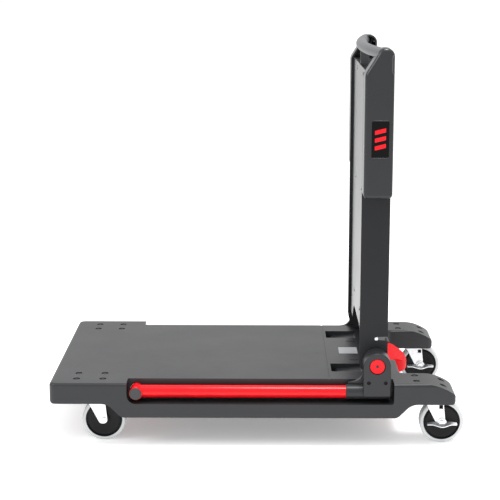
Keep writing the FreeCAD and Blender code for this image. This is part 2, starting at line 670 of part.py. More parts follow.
def make_pedal():
    """The release pedal: a half-moon bowl, open underneath, that droops away from its axle barrel."""
    x0 = PEDAL_AXLE_X
    top = DECK_TOP - PEDAL_SINK
    low = top - PEDAL_TALL
    tread = pedal_bowl(0, low).cut(pedal_bowl(PEDAL_SKIN, low - 1))
    half = PEDAL_HALF_WIDTH - PEDAL_BARREL_INSET
    barrel = rod_y(PEDAL_BARREL_R, -half, half, x0, PEDAL_AXLE_Z)
    neck = block(x0 - 2, x0 + 10, -half, half, PEDAL_AXLE_Z, top - 1)
    body = joined([tread, barrel, neck])
    cuts = [rod_y(AXLE_R + RUN, -PEDAL_NOTCH_HALF, PEDAL_NOTCH_HALF, x0, PEDAL_AXLE_Z)]
    cuts.append(rod_y(PEDAL_BARREL_R + 1.5, -PEDAL_SPRING_HALF, PEDAL_SPRING_HALF, x0, PEDAL_AXLE_Z))
    return without(body, cuts)


def make_pedal_axle():
    """The pedal's axle, held in the walls of the notch."""
    half = PEDAL_NOTCH_HALF + DECK_WALL
    return rod_y(AXLE_R, -half, half, PEDAL_AXLE_X, PEDAL_AXLE_Z)


def make_pedal_spring():
    """The torsion coil round the pedal's axle."""
    wire = 1.6
    radius = AXLE_R + wire / 2 + 1.0
    reach = PEDAL_SPRING_HALF - 4
    return coil(radius, wire, 2 * reach, 8, V(PEDAL_AXLE_X, -reach, PEDAL_AXLE_Z), V(0, 1, 0))


def make_strike_plate():
    """The plate let into the deck in front of the upright."""
    half_long = PLATE_RECESS_LONG / 2 - GAP
    half_wide = PLATE_RECESS_WIDE / 2 - GAP
    signs = ((-1, -1), (1, -1), (1, 1), (-1, 1))
    corners = [(PLATE_RECESS_X + i * half_long, j * half_wide, 2.0) for i, j in signs]
    return prism_z(corners, DECK_TOP - PLATE_RECESS_DEEP, DECK_TOP)


# ---- upright

def make_post():
    """A right-hand post: a cheek plate with a hollow channel behind it and a solid hub end."""
    inner = POST_INNER
    cheek_in = POST_HALF_SPAN - POST_CHEEK
    foot = rod_y(UPRIGHT_FRONT, inner, POST_HALF_SPAN, HUB_X, HUB_Z)
    foot = foot.common(block(UPRIGHT_X0, UPRIGHT_X1, 0, HALF_W, 0, HUB_Z + 1))
    cheek = block(UPRIGHT_X0, UPRIGHT_X1, cheek_in, POST_HALF_SPAN, HUB_Z, PANEL_TOP_Z)
    rim = PANEL_BACK_X + GAP
    channel = block(rim, UPRIGHT_X1, inner, cheek_in, HUB_Z, PANEL_TOP_Z)
    post = joined([foot, cheek, channel])
    cuts = [block(rim + POST_WALL, UPRIGHT_X1 - POST_WALL, inner - 1, cheek_in,
                  HUB_Z + 30, PANEL_TOP_Z - POST_WALL)]
    cuts.append(rod_y(PIN_R + RUN, inner - 1, POST_HALF_SPAN + 1, HUB_X, HUB_Z))
    slot = LATCH_ROD_R + GAP
    cuts.append(rod_y(slot, inner - 1, POST_HALF_SPAN + 1, HUB_X, LATCH_Z))
    cuts.append(prism_y([(HUB_X, LATCH_Z - slot, 0), (UPRIGHT_X1 + 5, LATCH_Z - slot - 1, 0),
                         (UPRIGHT_X1 + 5, LATCH_Z + slot + 1, 0), (HUB_X, LATCH_Z + slot, 0)],
                        inner - 1, POST_HALF_SPAN + 1))
    cuts.append(block(UPRIGHT_X0 - 1, rim, inner - 1, cheek_in + GAP, PANEL_BOTTOM_Z - 1, PANEL_TOP_Z + 1))
    return without(post, cuts)


def make_crossbar(z0):
    """A channel-section bar between the posts, open to the rear."""
    inner = POST_INNER - SNUG
    x0 = PANEL_BACK_X + GAP
    x1 = UPRIGHT_X1 - 10
    bar = block(x0, x1, -inner, inner, z0, z0 + BAR_TALL)
    return without(bar, [block(x0 + POST_WALL, x1 + 1, -inner + POST_WALL, inner - POST_WALL,
                               z0 + POST_WALL, z0 + BAR_TALL - POST_WALL)])


def crossbar_heights():
    """The lower edges of the three crossbars."""
    return (LATCH_Z + 24, SHELL_BOTTOM_Z - 20, PANEL_TOP_Z - BAR_TALL)


def make_front_panel():
    """The smooth front panel with an arch at its foot."""
    half = POST_HALF_SPAN - POST_CHEEK - SNUG
    panel = block(PANEL_FACE_X, PANEL_BACK_X, -half, half, PANEL_BOTTOM_Z, PANEL_TOP_Z)
    low = PANEL_BOTTOM_Z - 60
    high = PANEL_BOTTOM_Z + ARCH_TALL
    arch = prism_x([(-ARCH_HALF, low, 0), (ARCH_HALF, low, 0), (ARCH_HALF, high, ARCH_R),
                    (-ARCH_HALF, high, ARCH_R)], PANEL_FACE_X - 1, PANEL_BACK_X + 1)
    return without(panel, [arch])


def make_rear_panel():
    """The rear cover between the posts, with raised vertical ribs and a relief above the latch."""
    half = POST_INNER - SNUG
    x1 = UPRIGHT_X1 - 2
    z0 = LATCH_Z + 22
    low = z0 + 30
    high = PANEL_TOP_Z - 30
    plate = block(x1 - REAR_PANEL_SKIN, x1, -half, half, z0, PANEL_TOP_Z)
    ribs = [plate]
    count = int((half - REAR_RIB_PITCH) / REAR_RIB_PITCH)
    for place in range(-count, count + 1):
        y0 = REAR_RIB_PITCH * place - REAR_RIB_HALF
        y1 = REAR_RIB_PITCH * place + REAR_RIB_HALF
        ribs.append(prism_x([(y0, low, 5), (y1, low, 5), (y1, high, 5), (y0, high, 5)], x1 - 1, x1 + 2))
    return joined(ribs)


def shell_outline(inset):
    """The side view of a shell: straight front, sloped shoulder and rounded crown."""
    x0 = UPRIGHT_X0 + inset
    x1 = UPRIGHT_X1 - inset
    z0 = SHELL_BOTTOM_Z + inset
    top = SHELL_TOP_Z - inset
    slope = inset * 0.3
    foot_r = SHELL_FOOT_R - inset
    crown_r = SHELL_CROWN_R - inset
    shoulder_r = SHELL_SHOULDER_R - inset
    return [(x0, z0, foot_r), (x1, z0, foot_r), (x1, top, crown_r), (HUB_X - 3 + slope, top, crown_r),
            (x0, SHELL_SHOULDER_Z - slope, shoulder_r)]


def grip_ring(grow):
    """The bowed bar of the grip, grown by a clearance."""
    half = HALF_W - SHELL_WALL - GAP
    radius = (half ** 2 + GRIP_BOW ** 2) / (2 * GRIP_BOW)
    mid_x = GRIP_END_X - GRIP_BOW
    pivot = V(mid_x + radius, 0, 0)
    ellipse = Part.Ellipse(V(mid_x, 0, GRIP_Z), GRIP_HALF_DEPTH + grow, GRIP_HALF_HEIGHT + grow)
    section = ellipse.toShape()
    section.rotate(V(mid_x, 0, GRIP_Z), V(1, 0, 0), 90)
    face = Part.Face(Part.Wire(section))
    swing = math.degrees(math.asin(half / radius)) + grow * 0.05
    face.rotate(pivot, V(0, 0, 1), -swing)
    return face.revolve(pivot, V(0, 0, 1), 2 * swing)


def make_grip():
    """The grip with the thin web that props its middle."""
    x0 = PANEL_FACE_X
    web = prism_y([(x0, PANEL_TOP_Z, 0), (x0 + 24, PANEL_TOP_Z, 0), (x0 + 16, GRIP_Z, 0), (x0, GRIP_Z, 0)],
                  -WEB_HALF, WEB_HALF)
    return joined([grip_ring(0), web])


def make_shell():
    """A right-hand side shell, open to the inside, with a finger scallop at its rear crown."""
    whole = prism_y(shell_outline(0), SHELL_INNER, HALF_W)
    body = whole.makeFillet(SHELL_EDGE_R, edges_in_plane(whole, "y", HALF_W))
    body = without(body, [prism_y(shell_outline(SHELL_WALL), SHELL_INNER - 1, HALF_W - SHELL_WALL)])
    x = UPRIGHT_X1 + 8
    y = HALF_W + 3
    scallop = joined([rod_z(SCALLOP_R, SCALLOP_LOW_Z, SCALLOP_HIGH_Z, x, y),
                      Part.makeSphere(SCALLOP_R, V(x, y, SCALLOP_LOW_Z)),
                      Part.makeSphere(SCALLOP_R, V(x, y, SCALLOP_HIGH_Z))])
    backing = rod_z(SCALLOP_R + SHELL_WALL, SCALLOP_LOW_Z - SHELL_WALL, SCALLOP_HIGH_Z + SHELL_WALL, x, y)
    body = joined([body, whole.common(backing)])
    badge = badge_prism(0.8, HALF_W - BADGE_DEEP, HALF_W + 5)
    return without(body, [scallop, grip_ring(SNUG), badge])


def badge_prism(grow, y0, y1):
    """The rounded plate of the badge, grown by a margin."""
    a = BADGE_WIDE / 2 + grow - 0.8
    b = BADGE_LONG / 2 + grow - 0.8
    signs = ((-1, -1), (1, -1), (1, 1), (-1, 1))
    return prism_y([(BADGE_X + i * a, BADGE_Z + j * b, 4) for i, j in signs], y0, y1)


def make_badge():
    """The plain badge plate on a shell."""
    return badge_prism(0.8 - BADGE_GAP, HALF_W - BADGE_DEEP, HALF_W - BADGE_GAP)


def make_badge_insert():
    """The coloured inlay on a badge: three slanted bars."""
    bars = []
    for step in (-1, 0, 1):
        z = BADGE_Z + 17 * step
        bars.append(prism_y([(BADGE_X - 12, z - 7, 1), (BADGE_X + 12, z - 1, 1), (BADGE_X + 12, z + 8, 1),
                             (BADGE_X - 12, z + 2, 1)], HALF_W - BADGE_GAP, HALF_W))
    return bars


def make_latch_rod():
    """The latch rod across both posts."""
    end = POST_HALF_SPAN + 1.0
    rod = rod_y(LATCH_ROD_R, -end, end, HUB_X, LATCH_Z)
    return rod.makeFillet(0.8, edges_in_plane(rod, "y", end) + edges_in_plane(rod, "y", -end))


def make_latch_spring():
    """A coil in front of the latch rod."""
    wire = 1.4
    x0 = PANEL_BACK_X + wire
    length = HUB_X - LATCH_ROD_R - wire - GAP - x0
    return coil(4.5, wire, length, 6, V(x0, LATCH_SPRING_Y, LATCH_Z), V(1, 0, 0))


def panel_screw_places():
    """Where the panel screws stand: two in each crossbar."""
    return [(y, z + BAR_TALL / 2) for z in crossbar_heights() for y in (-PANEL_SCREW_Y, PANEL_SCREW_Y)]


def make_panel_screw(y, z):
    """A domed screw that holds the front panel to a crossbar."""
    head = rod_x(PANEL_SCREW_HEAD_R, PANEL_FACE_X - 1.8, PANEL_FACE_X, y, z)
    head = head.makeFillet(1.2, [edge for edge in head.Edges if edge.BoundBox.XMax < PANEL_FACE_X - 1.7])
    return joined([head, rod_x(PANEL_SCREW_R, PANEL_FACE_X - 1, PANEL_FACE_X + PANEL_SCREW_LONG, y, z)])


def screw_holes():
    """Clearance for the panel screws."""
    end = PANEL_FACE_X + PANEL_SCREW_LONG + 0.5
    return [rod_x(PANEL_SCREW_R + SNUG, PANEL_FACE_X - 5, end, y, z) for y, z in panel_screw_places()]


# ---- casters, drawn about the swivel axis at the floor

def make_plate():
    """The top plate with its upper race and the hole of the king pin."""
    a = PLATE_LENGTH / 2
    b = PLATE_BREADTH / 2
    z0 = CASTER_TOP_Z - PLATE_THICK
    r = PLATE_CORNER_R
    plate = prism_z([(-a, -b, r), (a, -b, r), (a, b, r), (-a, b, r)], z0, CASTER_TOP_Z - SNUG)
    race = rod_z(RACE_R, z0 - RACE_TALL, z0 + 1, 0, 0)
    race = race.makeFillet(2.0, edges_in_plane(race, "z", z0 - RACE_TALL))
    holes = [rod_z(AXLE_R + SNUG, 0, CASTER_TOP_Z + 5, 0, 0)]
    for dx in (-BOLT_SPACING_X / 2, BOLT_SPACING_X / 2):
        for dy in (-BOLT_SPACING_Y / 2, BOLT_SPACING_Y / 2):
            holes.append(rod_z(BOLT_R + GAP, z0 - 5, CASTER_TOP_Z + 5, dx, dy))
    return without(joined([plate, race]), holes)


def make_king_pin():
    """The rivet that carries the fork."""
    head = rod_z(9.0, CROWN_BOTTOM_Z - 3.6, CROWN_BOTTOM_Z - GAP, 0, 0)
    return joined([head, rod_z(AXLE_R, CROWN_BOTTOM_Z - 2, CASTER_TOP_Z - 1, 0, 0)])


def make_fork(has_brake):
    """The pressed fork: crown, lower race and two cheeks down to the axle."""
    s = CASTER_OFFSET
    top = CROWN_BOTTOM_Z + CROWN_THICK
    half = FORK_GAP / 2 + FORK_SKIN
    low = WHEEL_R - FORK_BOSS_R
    boss_r = FORK_BOSS_R - 0.1
    outline = [(-FORK_BACK, top, 5), (s + 3, top, 4), (s + 4, top - 23, 8), (s + FORK_BOSS_R, low, boss_r),
               (s - FORK_BOSS_R, low, boss_r), (-4, top - 21, 10)]
    crown = prism_z([(-FORK_BACK, -half, 8), (s + 3, -half, 3), (s + 3, half, 3), (-FORK_BACK, half, 8)],
                    CROWN_BOTTOM_Z, top)
    parts = [prism_y(outline, -half, -half + FORK_SKIN), prism_y(outline, half - FORK_SKIN, half), crown]
    parts.append(rod_z(FORK_DISC_R, CROWN_BOTTOM_Z, top, 0, 0))
    parts.append(rod_z(FORK_RACE_R, top - 1, top + FORK_RACE_TALL + 3, 0, 0))
    cuts = [rod_z(AXLE_R + RUN, 0, CASTER_TOP_Z, 0, 0), rod_y(AXLE_R + 0.02, -half - 1, half + 1, s, WHEEL_R)]
    if has_brake:
        cuts.append(block(s - 7, s + 2, -half - 1, half + 1, top - 29, top - 20))
    return without(joined(parts), cuts)


def hexagon(radius, x, y):
    """The six sharp corners of a nut or bolt head about a place."""
    angles = [math.radians(60 * step) for step in range(6)]
    return [(x + radius * math.cos(angle), y + radius * math.sin(angle), 0) for angle in angles]


def make_axle(has_brake):
    """The wheel bolt with its head and nut, longer where it also carries the brake."""
    half = FORK_GAP / 2 + FORK_SKIN
    left = -half - (BRAKE_HUB + 2 * GAP if has_brake else 0)
    s = CASTER_OFFSET
    corners = hexagon(AXLE_HEAD_R, s, WHEEL_R)
    head = prism_y(corners, left - AXLE_HEAD_TALL, left)
    nut = prism_y(corners, half, half + 5)
    return joined([rod_y(AXLE_R, left - 1, half + 6, s, WHEEL_R), head, nut])


def make_tyre():
    """The tyre, rounded at both shoulders."""
    half = WHEEL_WIDTH / 2
    tyre = rod_y(WHEEL_R, -half, half, CASTER_OFFSET, WHEEL_R)
    shoulders = edges_in_plane(tyre, "y", half) + edges_in_plane(tyre, "y", -half)
    tyre = tyre.makeFillet(TYRE_SHOULDER_R, shoulders)
    return without(tyre, [rod_y(WHEEL_R - TYRE_THICK, -half - 1, half + 1, CASTER_OFFSET, WHEEL_R)])


def make_wheel_core():
    """The wheel core: a closed web, lightly dished, with a groove inside the rim and a hub boss."""
    half = WHEEL_WIDTH / 2
    s = CASTER_OFFSET
    rim_r = WHEEL_R - TYRE_THICK - 0.02
    core = rod_y(rim_r, -half + 1.0, half - 1.0, s, WHEEL_R)
    cuts = [rod_y(AXLE_R + RUN, -half - 5, half + 5, s, WHEEL_R)]
    for y0, y1 in ((-half, -half + GROOVE_DEEP), (half - GROOVE_DEEP, half)):
        ring = rod_y(rim_r - RIM_LIP, y0, y1, s, WHEEL_R)
        cuts.append(ring.cut(rod_y(rim_r - RIM_LIP - RIM_GROOVE, y0, y1, s, WHEEL_R)))
    for y, away in ((-half + 1.0, -1), (half - 1.0, 1)):
        dish = Part.makeSphere(DISH_R, V(s, y + away * (DISH_R - DISH_DEEP), WHEEL_R))
        cuts.append(dish.cut(rod_y(HUB_BOSS_R, -half - 2, half + 2, s, WHEEL_R)))
    hub = rod_y(HUB_BOSS_R, -half - 1.5, half + 1.5, s, WHEEL_R)
    return without(joined([core, hub]), cuts)


def make_brake():
    """The brake rocker on the axle: a hub ring and a tilted lens-shaped tread with narrow tips."""
    s = CASTER_OFFSET
    y1 = -FORK_GAP / 2 - FORK_SKIN - GAP
    y0 = y1 - BRAKE_HUB
    tread_top = WHEEL_R + BRAKE_RISE
    tip = BRAKE_HALF_LONG
    lens = prism_z([(s - tip, y0 - 7, 1.5), (s - 20, y0 - 7, 12), (s, y0 - 17, 18), (s + 20, y0 - 7, 12),
                    (s + tip, y0 - 7, 1.5), (s + tip, y0 - 1, 1.5), (s + 20, y1, 6), (s - 20, y1, 6),
                    (s - tip, y0 - 1, 1.5)], tread_top - BRAKE_SKIN, tread_top)
    lens.rotate(V(s, y1, tread_top), V(1, 0, 0), BRAKE_TILT)
    lens = lens.common(block(s - 50, s + 50, y0 - 30, y1, 0, 2 * WHEEL_R))
    head_room = rod_y(AXLE_HEAD_R + 0.5, y0 - AXLE_HEAD_TALL - 1.5, y0, s, WHEEL_R)
    bore = rod_y(AXLE_R + RUN, y0 - 1, y1 + 5, s, WHEEL_R)
    return without(joined([rod_y(BRAKE_HUB_R, y0, y1, s, WHEEL_R), lens]), [head_room, bore])


def make_bolt(x, y, seat):
    """A caster bolt with a domed head."""
    head = rod_z(BOLT_HEAD_R, seat, seat + BOLT_HEAD_TALL, x, y)
    head = head.makeFillet(2.6, edges_in_plane(head, "z", seat + BOLT_HEAD_TALL))
    return joined([head, rod_z(BOLT_R, CASTER_TOP_Z - 12, seat + 1, x, y)])


def make_nut(x, y):
    """A caster nut under the plate."""
    z1 = CASTER_TOP_Z - PLATE_THICK
    nut = prism_z(hexagon(NUT_R, x, y), z1 - NUT_TALL, z1)
    return without(nut, [rod_z(BOLT_R + SNUG, z1 - 10, z1 + 5, x, y)])


def placed(shape, x, y):
    """A caster piece moved to its swivel axis."""
    moved = shape.copy()
    moved.translate(V(x, y, 0))
    return moved


# ---- the whole cart

os.makedirs("parts", exist_ok=True)
whole_deck = moulded_deck()
save("deck_platform", make_deck(whole_deck))
save("cross_tube", make_cross_tube())
save("tube_end_plugs", *both_sides(make_tube_plug()))
save("strike_plate", make_strike_plate())
save("foot_pedal", make_pedal())
save("pedal_axle", make_pedal_axle())
save("pedal_spring", make_pedal_spring())
ear_screws = [make_ear_screw(x) for x in ear_screw_xs()]
anchors = [make_anchor_bolt(x, z) for x, z in anchor_places()]
save("bracket_screws", *[half for screw in ear_screws for half in both_sides(screw)])
save("bracket_anchor_bolts", *[half for bolt in anchors for half in both_sides(bolt)])
for side, word in ((-1, "left"), (1, "right")):
    save("side_sill_" + word, on_side(side, make_sill(whole_deck)))
    save("side_tube_" + word, on_side(side, make_side_tube()))
    save("hinge_bracket_" + word, on_side(side, make_bracket()))
    save("hinge_pin_" + word, on_side(side, make_hinge_pin()))
    save("hub_button_" + word, on_side(side, make_button()))
    save("button_spring_" + word, on_side(side, make_button_spring()))
    save("upright_post_" + word, on_side(side, make_post()))
    save("side_shell_" + word, on_side(side, make_shell()))
save("crossbars", *[without(make_crossbar(z), screw_holes()) for z in crossbar_heights()])
save("front_panel", without(make_front_panel(), screw_holes()))
save("rear_panel", make_rear_panel())
save("handle_grip", make_grip())
save("shell_badges", *both_sides(make_badge()))
save("badge_inlays", *[half for bar in make_badge_insert() for half in both_sides(bar)])
save("panel_screws", *[make_panel_screw(y, z) for y, z in panel_screw_places()])
save("latch_rod", make_latch_rod())
save("latch_springs", *both_sides(make_latch_spring()))
save("caster_bolts", *[make_bolt(*spot) for _, x, y in CASTERS for spot in bolt_places(x, y)])
save("caster_nuts", *[make_nut(bx, by) for _, x, y in CASTERS for bx, by, _ in bolt_places(x, y)])
save("king_pins", *[placed(make_king_pin(), x, y) for _, x, y in CASTERS])
for corner, x, y in CASTERS:
    has_brake = corner.startswith("rear")
    save("caster_plate_" + corner, placed(make_plate(), x, y))
    save("fork_" + corner, placed(make_fork(has_brake), x, y))
    save("wheel_axle_" + corner, placed(make_axle(has_brake), x, y))
    save("tyre_" + corner, placed(make_tyre(), x, y))
    save("wheel_core_" + corner, placed(make_wheel_core(), x, y))
    if has_brake:
        save("brake_lever_" + corner, placed(make_brake(), x, y))
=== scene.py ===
"""Looks of the folding platform cart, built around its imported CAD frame.

Each sub-assembly class reads its places from the frame, builds the pieces that the frame leaves
plain, and dresses its own nodes. Lengths are metres.
"""
import logging
import math
from dataclasses import dataclass, field
from enum import Enum

import bmesh
import bpy
from mathutils import Matrix, Vector


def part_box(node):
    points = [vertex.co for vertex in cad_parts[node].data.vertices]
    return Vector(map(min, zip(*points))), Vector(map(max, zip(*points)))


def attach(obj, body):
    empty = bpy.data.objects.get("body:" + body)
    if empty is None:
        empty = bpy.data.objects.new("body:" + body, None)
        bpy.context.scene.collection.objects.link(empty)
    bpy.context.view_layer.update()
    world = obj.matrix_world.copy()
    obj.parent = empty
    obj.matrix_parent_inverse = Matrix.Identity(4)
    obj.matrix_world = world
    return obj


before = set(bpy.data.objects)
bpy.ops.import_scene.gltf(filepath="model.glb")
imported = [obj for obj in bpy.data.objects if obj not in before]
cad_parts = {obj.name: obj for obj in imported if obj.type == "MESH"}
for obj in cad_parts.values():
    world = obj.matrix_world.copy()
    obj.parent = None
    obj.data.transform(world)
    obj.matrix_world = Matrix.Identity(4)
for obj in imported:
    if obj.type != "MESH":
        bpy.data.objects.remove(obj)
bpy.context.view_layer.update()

CORNERS = ("front_left", "front_right", "rear_left", "rear_right")
SIDES = ("left", "right")

PLASTIC_IOR = 1.5
PEBBLE_SMOOTHNESS = 0.6
SHEEN_AND_SCUFF_LIFT = 3.2          # how much paler the painted top sheen and the scuffs make a plastic, per unit of its mottle
SCUFF_SHARE = 0.35       # how pale a scuff is beside the painted top sheen
NO_STREAK = (1.0, 1.0, 1.0)
RING_RATE = 9000.0       # turned rings on a tyre, in radians per metre of radius
SEAM_STEPS = 72
BEAD_SWELL = (0.85, 1.12)
RIB_CLEARANCE = 0.001
RIB_DEPTH = 0.012
RIB_FOOT = 0.03          # from the shell's lower edge to the first rib
RIB_SHOULDER = 0.045     # from the last rib to the top of the post

logging.basicConfig(level=logging.INFO, format="%(name)s: %(message)s")
log = logging.getLogger("cart")


# ---------------------------------------------------------------- colour and shader helpers

def srgb(red: float, green: float, blue: float) -> tuple[float, float, float, float]:
    """A display colour, 0 to 255, as linear RGBA.

    Args:
        red: display red.
        green: display green.
        blue: display blue.

    Returns:
        The linear colour with alpha 1.
    """
    def linear(value: float) -> float:
        share = value / 255
        return share / 12.92 if share <= 0.04045 else ((share + 0.055) / 1.055) ** 2.4
    return (linear(red), linear(green), linear(blue), 1.0)


def tint(colour: tuple[float, float, float, float], factor: float) -> tuple[float, float, float, float]:
    """A colour made lighter or darker, held at full brightness.

    Args:
        colour: linear RGBA.
        factor: what red, green and blue are multiplied by.

    Returns:
        The new colour with alpha 1.
    """
    return tuple(min(1.0, channel * factor) for channel in colour[:3]) + (1.0,)


class Signal:
    """One number that varies over a surface, with arithmetic that adds Math nodes."""

    def __init__(self, shader: "Shader", socket: bpy.types.NodeSocket) -> None:
        """Wraps a node's output.

        Args:
            shader: the material being built.
            socket: the output to wrap.
        """
        self.shader = shader
        self.socket = socket

    def _join(self, operation: str, first: object, second: object, clamp: bool = False) -> "Signal":
        """A Math node on two values.

        Args:
            operation: the Math node's operation.
            first: a Signal or a number.
            second: a Signal or a number.
            clamp: whether the result is held between 0 and 1.

        Returns:
            The result as a Signal.
        """
        return self.shader.node("ShaderNodeMath", {"operation": operation, "use_clamp": clamp},
                                {0: first, 1: second}).out(0)

    def __add__(self, other: object) -> "Signal":
        """Sum."""
        return self._join("ADD", self, other)

    def __radd__(self, other: object) -> "Signal":
        """Sum, reflected."""
        return self._join("ADD", other, self)

    def __sub__(self, other: object) -> "Signal":
        """Difference."""
        return self._join("SUBTRACT", self, other)

    def __mul__(self, other: object) -> "Signal":
        """Product."""
        return self._join("MULTIPLY", self, other)

    def __truediv__(self, other: object) -> "Signal":
        """Quotient."""
        return self._join("DIVIDE", self, other)

    def __pow__(self, other: object) -> "Signal":
        """Power."""
        return self._join("POWER", self, other)

    def wave(self) -> "Signal":
        """The sine of the value."""
        return self._join("SINE", self, 0.0)

    def held(self) -> "Signal":
        """The value held between 0 and 1."""
        return self._join("ADD", self, 0.0, clamp=True)

    def ramp(self, low: float, high: float) -> "Signal":
        """A smooth step.

        Args:
            low: where the result is 0.
            high: where the result is 1.

        Returns:
            The step as a Signal.
        """
        return self.shader.node("ShaderNodeMapRange", {"interpolation_type": "SMOOTHSTEP"},
                                {0: self, 1: low, 2: high, 3: 0.0, 4: 1.0}).out(0)


class Placed:
    """A node in a material, whose outputs can be taken as signals."""

    def __init__(self, shader: "Shader", made: bpy.types.Node) -> None:
        """Wraps a node.

        Args:
            shader: the material being built.
            made: the node.
        """
        self.shader = shader
        self.made = made

    def out(self, name: object) -> Signal:
        """The output of that name or number, as a Signal."""
        return Signal(self.shader, self.made.outputs[name])


class Shader:
    """A node material under construction."""

    def __init__(self, name: str) -> None:
        """Starts a material with a Principled surface.

        Args:
            name: the material's name.
        """
        self.material = bpy.data.materials.new(name)
        self.material.use_nodes = True
        self.tree = self.material.node_tree
        self.surface = self.tree.nodes["Principled BSDF"]
        self.position = self.node("ShaderNodeTexCoord").out("Object")

    def node(self, kind: str, settings: dict | None = None, values: dict | None = None) -> Placed:
        """Adds a node.

        Args:
            kind: the node's type name.
            settings: properties that are set before its sockets are filled.
            values: input name or number to a Signal, a number or a colour.

        Returns:
            The placed node.
        """
        made = self.tree.nodes.new(kind)
        for key, value in (settings or {}).items():
            setattr(made, key, value)
        for key, value in (values or {}).items():
            self.feed(made.inputs[key], value)
        return Placed(self, made)

    def feed(self, socket: bpy.types.NodeSocket, value: object) -> None:
        """Links a Signal to an input, or sets its value.

        Args:
            socket: the input.
            value: a Signal, a number, a vector or a colour.
        """
        if isinstance(value, Signal):
            self.tree.links.new(value.socket, socket)
        else:
            socket.default_value = value

    def constant(self, **values: object) -> None:
        """Sets values of the surface that are the same all over it.

        Args:
            **values: socket names with underscores for spaces.
        """
        for name, value in values.items():
            self.surface.inputs[name.replace("_", " ")].default_value = value

    def vary(self, name: str, value: Signal) -> None:
        """Links a Signal to one of the surface's inputs."""
        self.feed(self.surface.inputs[name], value)

    def stretched(self, x: float, y: float, z: float) -> Signal:
        """Object coordinates scaled along each axis."""
        return self.node("ShaderNodeMapping", None,
                         {"Vector": self.position, "Scale": (x, y, z)}).out(0)

    def noise(self, size: float, detail: float = 2.0, rough: float = 0.5,
              along: Signal | None = None) -> Signal:
        """Soft noise.

        Args:
            size: the width of one patch, in metres.
            detail: octaves.
            rough: how strong the finer octaves are.
            along: coordinates other than the plain object ones.

        Returns:
            Noise from about 0.3 to 0.7.
        """
        return self.node("ShaderNodeTexNoise", {"noise_dimensions": "3D"},
                         {"Vector": along or self.position, "Scale": 1 / size, "Detail": detail,
                          "Roughness": rough}).out("Fac")

    def cells(self, size: float) -> Signal:
        """Distance inside small pebbles, for a moulding grain and for spangle."""
        return self.node("ShaderNodeTexVoronoi", {"feature": "SMOOTH_F1"},
                         {"Vector": self.position, "Scale": 1 / size,
                          "Smoothness": PEBBLE_SMOOTHNESS}).out("Distance")

    def blend(self, factor: Signal, first: object, second: object) -> Signal:
        """A colour between two others, by a factor."""
        return self.node("ShaderNodeMix", {"data_type": "RGBA"},
                         {0: factor, 6: first, 7: second}).out(2)

    def relief(self, height: Signal, distance: float) -> None:
        """Feeds a Bump node to the surface's normal.

        Args:
            height: 0 low, 1 high.
            distance: how far 1 stands above 0, in metres.
        """
        bump = self.node("ShaderNodeBump", None,
                         {"Strength": 1.0, "Distance": distance, "Height": height})
        self.vary("Normal", bump.out("Normal"))

    def facing_up(self) -> Signal:
        """How far the surface faces the sky, from -1 to 1."""
        normal = self.node("ShaderNodeNewGeometry").out("Normal")
        return self.node("ShaderNodeSeparateXYZ", None, {0: normal}).out("Z")


# ---------------------------------------------------------------- finishes

class Grain(Enum):
    """The surface a mould leaves on plastic."""

    PEBBLED = "pebbled"
    FINE = "fine"
    SMOOTH = "smooth"


@dataclass(frozen=True)
class MouldedPlastic:
    """Injection-moulded plastic: flow mottling, moulding grain, and a painted sheen on top faces, paler in
    mottled patches.
    """

    name: str
    colour: tuple[float, float, float, float]
    roughness: float = 0.5
    grain: Grain = Grain.FINE
    grain_size: float = 0.0009
    grain_height: float = 0.00006
    # dust sets how strong the painted sheen on upward faces is, and also how pale the scuffs are
    dust: float = 0.12
    shine: float = 0.5
    mottle: float = 0.12

    def material(self) -> bpy.types.Material:
        """Builds the finish.

        Returns:
            The material.
        """
        shader = Shader(self.name)
        flow = shader.noise(size=0.14, detail=3.0, rough=0.55)
        scuffs = shader.noise(size=0.012, detail=4.0, rough=0.7,
                              along=shader.stretched(0.35, 1.0, 1.0)).ramp(0.60, 0.74)
        pale = tint(self.colour, 1 + SHEEN_AND_SCUFF_LIFT * self.mottle)
        dark = tint(self.colour, 1 - self.mottle)
        base = shader.blend(flow.ramp(0.3, 0.7), dark, self.colour)
        # painted sheen: upward faces made paler in mottled patches, standing for the reflection of the
        # light from above; the scuffs below are real wear
        top_sheen = (shader.facing_up().ramp(0.5, 1.0)
                   * shader.noise(size=0.05, detail=5.0, rough=0.65).ramp(0.35, 0.75) * self.dust)
        base = shader.blend((top_sheen + scuffs * (self.dust * SCUFF_SHARE)).held(), base, pale)
        shader.vary("Base Color", base)
        shader.vary("Roughness", (self.roughness + (flow - 0.5) * 0.12 + scuffs * 0.06).held())
        shader.constant(Specular_IOR_Level=self.shine, IOR=PLASTIC_IOR)
        if self.grain is Grain.PEBBLED:
            pebbles = shader.cells(self.grain_size)
            specks = shader.noise(size=self.grain_size * 0.6, detail=2.0)
            shader.relief(pebbles + specks * 0.5, self.grain_height)
        elif self.grain is Grain.FINE:
            shader.relief(shader.noise(size=self.grain_size, detail=3.0, rough=0.6), self.grain_height)
        else:
            shader.relief(shader.noise(size=0.03, detail=2.0, rough=0.4), self.grain_height)
        return shader.material


